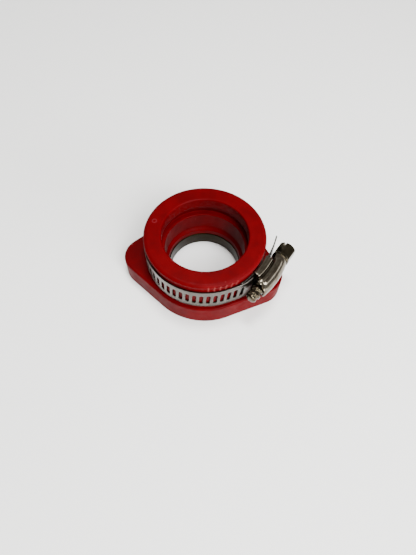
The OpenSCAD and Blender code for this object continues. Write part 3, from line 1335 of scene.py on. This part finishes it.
    def rear_wall(self, draft: MeshDraft, last: Sequence[int],
                  line: Sequence[tuple[float, float, float]], centre: int, arch_n: int) -> None:
        """Curls the arch's rear end in towards the screw's neck.

        Args:
            draft: the draft to add to.
            last: the arch's last row.
            line: the whole section.
            centre: the crown's place in the section.
            arch_n: how many entries of half the section belong to the arch.
        """
        keep = range(centre - arch_n + 1, centre + arch_n)
        ring = [last[k] for k in keep]
        axis_u = Clamp.screw_u()
        for step in range(1, 5):
            share = step / 4
            into = fade(share, 0.0, 1.0)
            points = []
            drop = self.bend_r - math.sqrt(self.bend_r ** 2
                                           - (self.arch_t[1] - self.bend_t) ** 2)
            for k in keep:
                u, z, _ = line[k]
                u -= drop
                turn = math.atan2(z, u - axis_u)
                hole = (axis_u + self.collar_hole * math.cos(turn),
                        self.collar_hole * math.sin(turn))
                points.append(Clamp.world(u + (hole[0] - u) * into, self.arch_t[1]
                                          + 0.35 * math.sin(share * math.pi / 2),
                                          z + (hole[1] - z) * into))
            after = draft.ring(points)
            draft.bridge(ring, after, closed=False)
            ring = after


@dataclass
class WormScrew:
    """The worm screw: rolled thread, collar and a slotted hexagon head."""

    core_r: float = 2.35
    crest_r: float = 3.1
    pitch: float = 3.175
    tip_t: float = -11.5
    thread_end: float = 13.4
    neck_r: float = 2.7
    disc_t: tuple[float, float] = (15.3, 16.9)
    disc_r: float = 4.3
    hex_af: float = 7.9
    hex_end: float = 23.7
    slot_w: float = 1.3
    slot_d: float = 2.0
    slot_turn: float = math.radians(116.0)

    def place(self, r: float, angle: float, t: float) -> Point:
        """A place round the screw's axis, in the part's frame."""
        return Clamp.world(Clamp.screw_u() + r * math.cos(angle), t, r * math.sin(angle))

    def ridge(self, phase: float) -> float:
        """Height of the thread, from 0 at its root to 1 at its crest, at a phase from 0 to 1."""
        away = abs(phase - 0.5) * 2
        return 1.0 - fade(away, 0.28, 0.72)

    def shank(self) -> bpy.types.Object:
        """Makes the thread, neck and collar as one turned piece.

        Returns:
            A closed piece whose thread is right-handed.
        """
        around = 72
        draft = MeshDraft()
        rings = []
        rows = int((self.thread_end - self.tip_t) / self.pitch * 22)
        rings.append(draft.ring(self.place(0.9, 2 * math.pi * k / around, self.tip_t)
                                for k in range(around)))
        for i in range(rows + 1):
            t = self.tip_t + 0.02 + (self.thread_end - self.tip_t) * i / rows
            from_tip = t - self.tip_t
            dome = math.sqrt(max(0.0, 1 - max(0.0, 1 - from_tip / 1.3) ** 2))
            grow = fade(from_tip, 0.5, 2.2) * fade(self.thread_end - t, 0.0, 1.5)
            ring = []
            for k in range(around):
                # Right-handed about the direction from tip to head: turn grows from u to -z
                phase = (t / self.pitch + k / around) % 1.0
                r = self.core_r + (self.crest_r - self.core_r) * self.ridge(phase) * grow
                ring.append(self.place(max(0.9, r * (0.42 + 0.58 * dome)),
                                       2 * math.pi * k / around, t))
            rings.append(draft.ring(ring))
        low, high = self.disc_t
        section = [(self.neck_r, self.thread_end + 0.15), (self.neck_r, low - 0.05)]
        section += [(self.disc_r - 0.25 + x, low + 0.25 + y)
                    for x, y in arc(0, 0, 0.25, -90, 0, 3)]
        section += [(self.disc_r - 0.35 + x, high - 0.35 + y)
                    for x, y in arc(0, 0, 0.35, 0, 90, 4)]
        section += [(self.hex_af * 0.46, high)]
        rings += [draft.ring(self.place(r, 2 * math.pi * k / around, t)
                             for k in range(around)) for r, t in section]
        draft.loft(rings)
        return even_shading(draft.build("worm_thread"))

    def head(self) -> bpy.types.Object:
        """Makes the hexagon with chamfered corners and a driver's slot.

        Returns:
            A closed piece that stands on the collar.
        """
        corner = self.hex_af / 2 / math.cos(math.pi / 6)
        base = self.disc_t[1] - 0.4
        rows = [(0.0, base), (0.0, self.hex_end - 0.75), (0.16, self.hex_end - 0.4),
                (0.42, self.hex_end - 0.14), (0.8, self.hex_end)]
        draft = MeshDraft()
        around = 72
        rings = []
        for chamfer, t in rows:
            ring = []
            for k in range(around):
                a = 2 * math.pi * k / around
                flat = self.hex_af / 2 / math.cos((a + math.pi / 6) % (math.pi / 3) - math.pi / 6)
                limit = corner - 0.12 - chamfer
                ring.append(self.place(min(flat, limit), a, t))
            rings.append(draft.ring(ring))
        draft.loft(rings)
        head = draft.build("hex_head")
        cut(head, self.driver_slot())
        return round_edges(head, 0.14, 2, 25.0)

    def driver_slot(self) -> bpy.types.Object:
        """The block that opens the driver's slot."""
        draft = MeshDraft()
        c, s = math.cos(self.slot_turn), math.sin(self.slot_turn)
        half = self.slot_w / 2
        rings = []
        for t in (self.hex_end - self.slot_d, self.hex_end + 1.0):
            ring = []
            for along, across in ((-8, -half), (8, -half), (8, half), (-8, half)):
                ring.append(Clamp.world(Clamp.screw_u() + along * c - across * s, t,
                                        along * s + across * c))
            rings.append(draft.ring(ring))
        draft.loft(rings)
        return draft.build("slot_tool")


# ---------------------------------------------------------------------------------------------
# The studio
# ---------------------------------------------------------------------------------------------

@dataclass(frozen=True)
class SoftBox:
    """One soft light: where it stands, what it looks at, its size and its strength."""

    name: str
    place: Point
    size: tuple[float, float]
    watts: float

    def make(self, target: Vector) -> bpy.types.Object:
        """Makes the light.

        Args:
            target: the point it faces, in metres.

        Returns:
            The light object.
        """
        lamp = bpy.data.lights.new(self.name, "AREA")
        lamp.shape = "RECTANGLE"
        lamp.size, lamp.size_y = self.size
        lamp.energy = self.watts
        obj = bpy.data.objects.new(self.name, lamp)
        bpy.context.scene.collection.objects.link(obj)
        obj.location = self.place
        obj.rotation_euler = (target - obj.location).to_track_quat("-Z", "Y").to_euler()
        return obj


@dataclass
class Studio:
    """Pale floor, soft lights and the camera."""

    collar_r: float = 28.8
    turn: float = math.radians(7.8)
    stand: Point = (0.079, -3.866, 6.307)
    down: float = math.radians(59.69)
    roll: float = math.radians(2.63)
    lens: float = 25.95
    zenith: str = "9c9892"
    horizon: str = "ffffff"
    sky: float = 0.92
    boxes: tuple[SoftBox, ...] = (
        SoftBox("key_box", (0.34, -0.4, 0.6), (0.4, 0.4), 13.0),
        SoftBox("top_box", (0.02, 0.16, 1.1), (0.35, 0.2), 14.0),
        SoftBox("low_box", (0.85, -0.45, 0.22), (0.5, 0.3), 9.0),
    )

    def camera(self) -> bpy.types.Object:
        """Stands the camera in front of and above the part, a little rolled.

        Returns:
            The camera object.
        """
        data = bpy.data.cameras.new("camera")
        data.lens = self.lens
        data.sensor_width = 36.0
        data.clip_start = 0.005
        obj = bpy.data.objects.new("camera", data)
        bpy.context.scene.collection.objects.link(obj)
        spin = Matrix.Rotation(self.turn, 3, "Z")
        place = spin @ Vector(self.stand) * self.collar_r * MM
        ahead = spin @ Vector((0, math.cos(self.down), -math.sin(self.down)))
        right = spin @ Vector((1, 0, 0))
        up = right.cross(ahead)
        c, s = math.cos(self.roll), math.sin(self.roll)
        side, top = right * c + up * s, up * c - right * s
        frame_axes = Matrix((side, top, -ahead)).transposed()
        obj.matrix_world = Matrix.Translation(place) @ frame_axes.to_4x4()
        bpy.context.scene.camera = obj
        return obj

    def light(self) -> None:
        """Sets a room that is bright at the horizon and dim overhead, and adds the soft boxes."""
        world = bpy.data.worlds.new("room")
        bpy.context.scene.world = world
        world.use_nodes = True
        tree = world.node_tree
        place = add(tree, "ShaderNodeTexCoord").outputs["Generated"]
        parts = add(tree, "ShaderNodeSeparateXYZ", links={0: place})
        colour = ramp(tree, parts.outputs["Z"],
                      [(0.0, linear(self.horizon)), (0.25, linear("c8c8c6")),
                       (0.5, linear("aaa69f")), (0.75, linear(self.zenith))])
        back = tree.nodes["Background"]
        tree.links.new(colour, back.inputs["Color"])
        back.inputs["Strength"].default_value = self.sky
        low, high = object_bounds()
        target = (Vector(low) + Vector(high)) / 2
        for box in self.boxes:
            box.make(target)

    def floor(self) -> bpy.types.Object:
        """Lays the paper that the part stands on.

        Returns:
            The floor, marked as no part of the object.
        """
        draft = MeshDraft()
        draft.cap(draft.ring([(-3000, -3000, 0), (3000, -3000, 0),
                              (3000, 3000, 0), (-3000, 3000, 0)]))
        paper = draft.build("floor")
        paper.data.materials.append(StudioPaper("matt_paper", "floor").make())
        paper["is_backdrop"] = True
        return paper


# ---------------------------------------------------------------------------------------------
# Putting it together
# ---------------------------------------------------------------------------------------------

FINISHES = {
    "rubber": MouldedRubber("moulded_red_rubber", "rubber"),
    "scar": MouldedRubber("stretched_gate_ring", "rubber", colour="60161c", dark="561218"),
    "plate": WorkedSteel("turned_dull_steel", "plate_metal", colour="1e1609", tint="150f06",
                         roughness=0.42, spread=0.1, bump=0.3),
    "band": WorkedSteel("rolled_stainless", "band_steel", colour="55524d", tint="403c35",
                        roughness=0.3),
    "housing": WorkedSteel("pressed_stainless", "housing_steel", colour="777064",
                           tint="4a4031", roughness=0.17, lay=Lay.ALONG_SCREW),
    "screw": WorkedSteel("rolled_screw_stainless", "screw_steel", colour="524b3d",
                         tint="322c21", roughness=0.16, lay=Lay.ALONG_SCREW, run_mm=4.0),
}


def dress(obj: bpy.types.Object, material: bpy.types.Material, body: str,
          nodes: Sequence[str] = ()) -> None:
    """Gives a piece its finish and its body, and hides the CAD nodes it stands for.

    Args:
        obj: the piece.
        material: its material.
        body: the CAD body it rides on.
        nodes: the CAD nodes it replaces.
    """
    obj.data.materials.clear()
    obj.data.materials.append(material)
    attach(obj, body)
    if nodes:
        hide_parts(*nodes)
    LOG.info("%s on %s: %d faces", obj.name, body, len(obj.data.polygons))


def main() -> None:
    """Builds the studio and every piece."""
    logging.basicConfig(level=logging.INFO, format="%(name)s: %(message)s")
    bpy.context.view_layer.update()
    studio = Studio()
    studio.camera()
    studio.light()
    studio.floor()
    made = {key: finish.make() for key, finish in FINISHES.items()}

    outline = EarOutline()
    body = RubberBody(outline)
    plate = FlangePlate(outline)
    dress(body.build(), made["rubber"], "coupling", ["rubber_body"])
    dress(body.gate_mark(), made["scar"], "coupling")
    dress(plate.build(), made["plate"], "coupling", ["flange_plate"])
    for side in (-1, 1):
        dress(plate.thread(side), made["plate"], "coupling")

    loop, tail, bridge = ClampBand().build()
    dress(loop, made["band"], "clamp", ["clamp_band"])
    dress(bridge, made["band"], "clamp", ["clamp_saddle"])
    dress(tail, made["band"], "tail", ["band_tail"])
    dress(ScrewHousing().build(), made["housing"], "clamp", ["clamp_housing"])
    screw = WormScrew()
    dress(screw.shank(), made["screw"], "screw", ["worm_screw"])
    dress(screw.head(), made["screw"], "screw")


if __name__ == "__main__":
    main()
